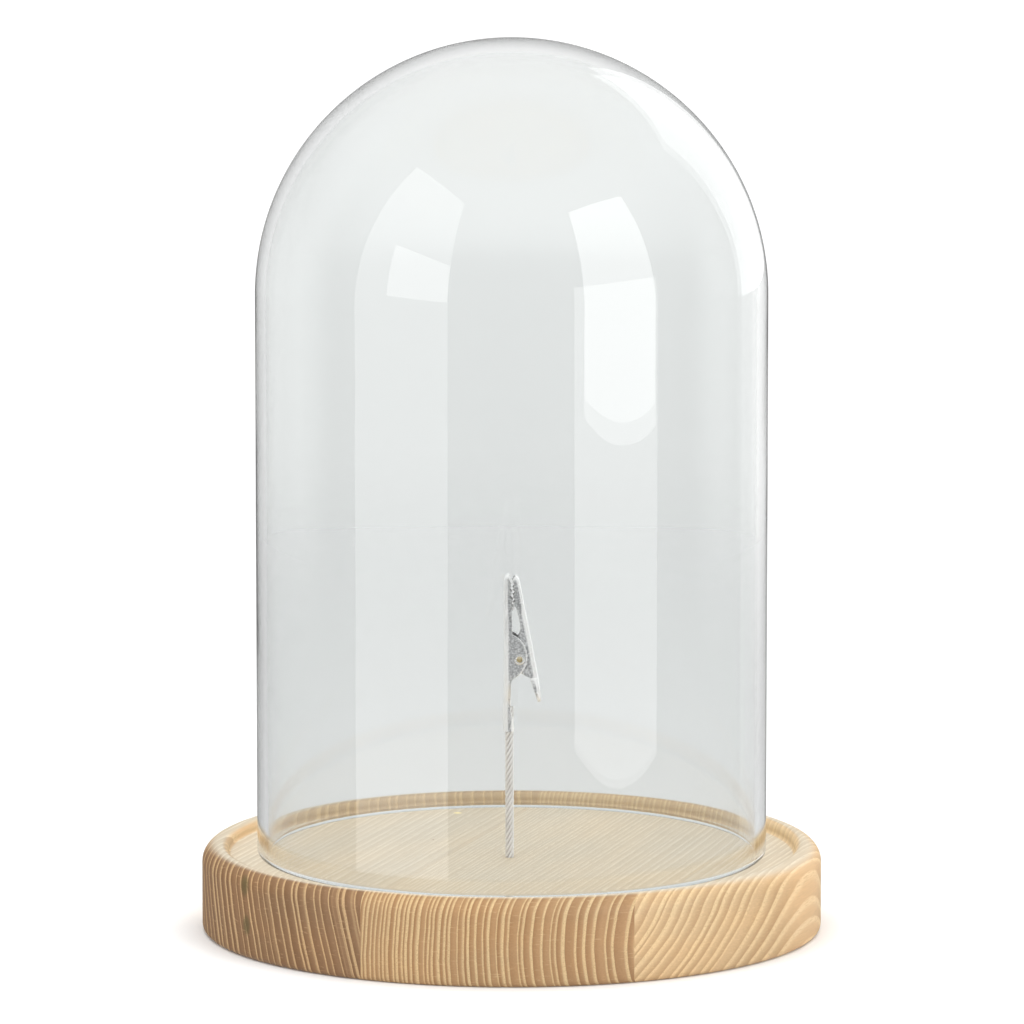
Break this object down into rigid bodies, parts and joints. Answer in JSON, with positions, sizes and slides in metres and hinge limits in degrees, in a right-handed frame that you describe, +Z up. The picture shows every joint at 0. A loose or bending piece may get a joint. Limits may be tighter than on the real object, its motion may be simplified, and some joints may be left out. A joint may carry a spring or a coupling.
{
  "type": "bell jar dome",
  "caption": "Clear glass bell jar with a half-round top, loose on a turned wooden base, over a toothed spring clip on an upright wire rope.",
  "frame": {"origin": "centre of the wooden base's underside, where the part stands", "axes": "+Z up along the dome's axis; the clip's rivet lies along Y and its thumb tail points to +X"},
  "size_m": [0.146, 0.146, 0.2104],
  "materials": {
    "wood_dark": "oiled ash end grain, brown, darker board",
    "wood": "oiled ash, narrow rings",
    "wood_yellow": "oiled ash, yellower board",
    "glass": "clear blown glass",
    "rope_steel": "bright drawn steel wire",
    "clip_plate": "nickel-plated sheet steel, satin on the ears",
    "rivet": "plated hollow brass rivet",
    "spring_steel": "drawn spring wire"
  },
  "bodies": {
    "base": {"base_board_left": "wood_dark", "base_board_middle": "wood", "base_board_right": "wood_yellow", "rope_core_strand": "rope_steel", "rope_strand_1": "rope_steel", "rope_strand_2": "rope_steel", "rope_strand_3": "rope_steel", "rope_strand_4": "rope_steel", "rope_strand_5": "rope_steel", "rope_strand_6": "rope_steel", "clip_fixed_jaw": "clip_plate", "clip_rivet": "rivet", "clip_spring": "spring_steel"},
    "dome": {"glass_dome": "glass"},
    "moving_jaw": {"clip_moving_jaw": "clip_plate"}
  },
  "joints": [
    {"name": "dome_lift", "type": "slide", "parent": "base", "child": "dome", "axis": [0, 0, 1], "range_m": [0, 0.09]},
    {"name": "jaw_pivot", "type": "hinge", "parent": "base", "child": "moving_jaw", "pos_m": [0.00185, -0.004, 0.0651], "axis": [0, 1, 0], "range_deg": [0, 26], "stiffness_Nm_per_rad": 0.01, "springref_deg": -28.65, "deforming": ["clip_spring"]}
  ]
}
